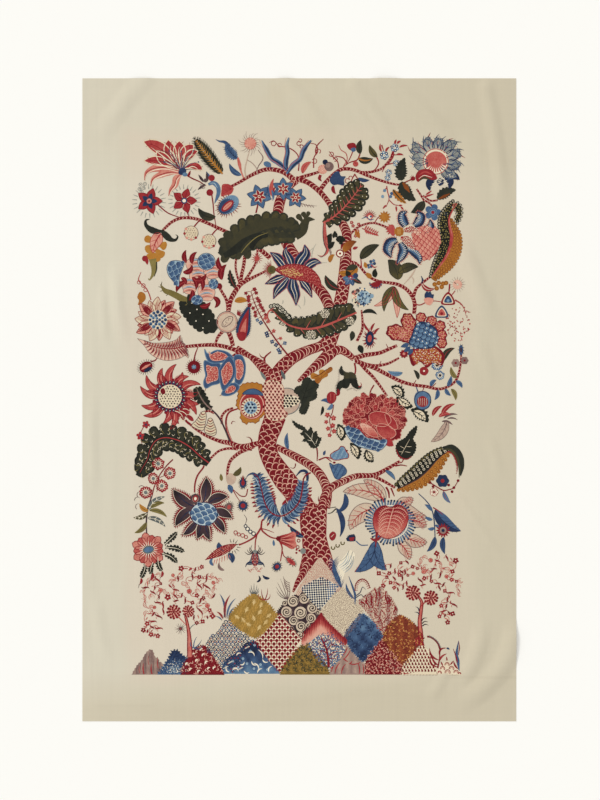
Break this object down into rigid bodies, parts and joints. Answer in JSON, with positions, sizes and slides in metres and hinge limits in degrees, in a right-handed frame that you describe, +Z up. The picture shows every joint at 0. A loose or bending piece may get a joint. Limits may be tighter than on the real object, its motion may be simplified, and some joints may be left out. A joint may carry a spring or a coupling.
{
  "type": "kalamkari panel",
  "caption": "Rectangular cotton panel hand-painted with a flowering tree on a rocky mound, lying face up with soft creases.",
  "frame": {"origin": "middle of the panel on the surface it lies on", "axes": "+X to the panel's right, +Y to its top edge, +Z up, out of its painted face"},
  "size_m": [1.12, 1.66, 0.009],
  "materials": {
    "cotton": "matte plain weave, painted and mordant-dyed in madder red, indigo, olive and ochre"
  },
  "bodies": {
    "root": {"panel": "cotton"}
  },
  "joints": []
}
